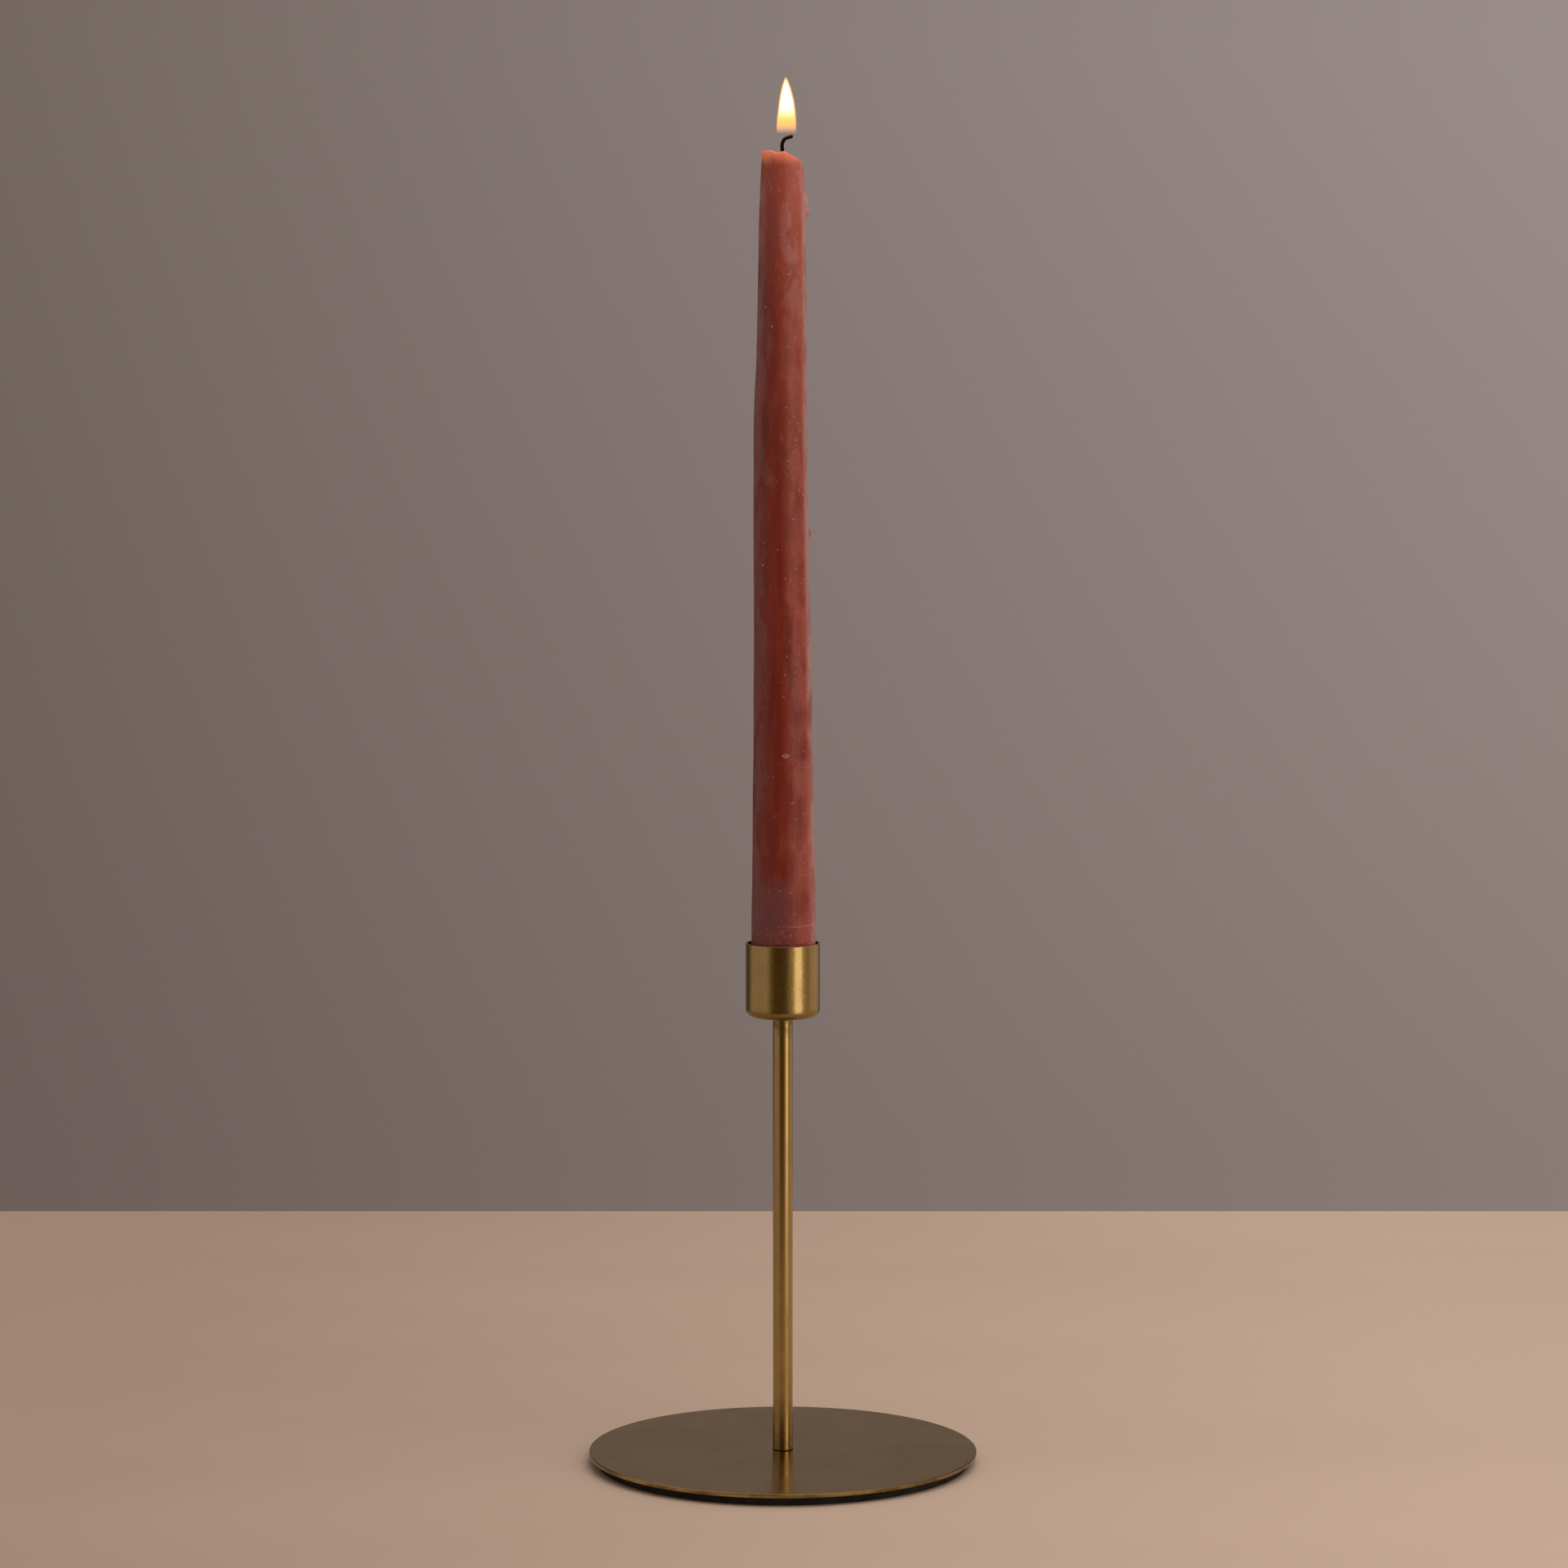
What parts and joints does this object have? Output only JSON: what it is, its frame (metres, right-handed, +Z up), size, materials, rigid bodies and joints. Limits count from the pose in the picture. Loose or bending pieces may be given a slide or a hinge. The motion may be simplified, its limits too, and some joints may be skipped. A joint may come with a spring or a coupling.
{
  "type": "candlestick",
  "caption": "Slim brass candlestick: a flat disc base on a foam pad, a tube stem and a drawn cup, with a tapered wax candle that lifts out.",
  "frame": {"origin": "on the stem's axis, in the plane that the base pad stands on", "axes": "+Z up the stem towards the cup; the stick is round about Z, and +X is the side that the burnt wick curls towards"},
  "size_m": [0.135, 0.135, 0.4594],
  "materials": {
    "pad_foam": "matt black foam rubber",
    "brass_plate": "satin, lightly smudged",
    "brass_turned": "turned, slightly tarnished",
    "brass_tube": "satin drawn tube",
    "brass_cup": "fine brushed",
    "screw_steel": "plain zinc",
    "wax": "wax with a pale bloom",
    "wick_cotton": "braided cotton, charred at its end"
  },
  "bodies": {
    "holder": {"base_pad": "pad_foam", "base_plate": "brass_plate", "base_screw": "screw_steel", "stem_foot": "brass_turned", "stem_tube": "brass_tube", "stem_head": "brass_turned", "cup": "brass_cup", "cup_washer": "screw_steel", "cup_screw": "screw_steel"},
    "candle": {"candle": "wax", "wick": "wick_cotton"}
  },
  "joints": [
    {"name": "candle_lift", "type": "slide", "parent": "holder", "child": "candle", "axis": [0, 0, 1], "range_m": [0, 0.025]}
  ]
}
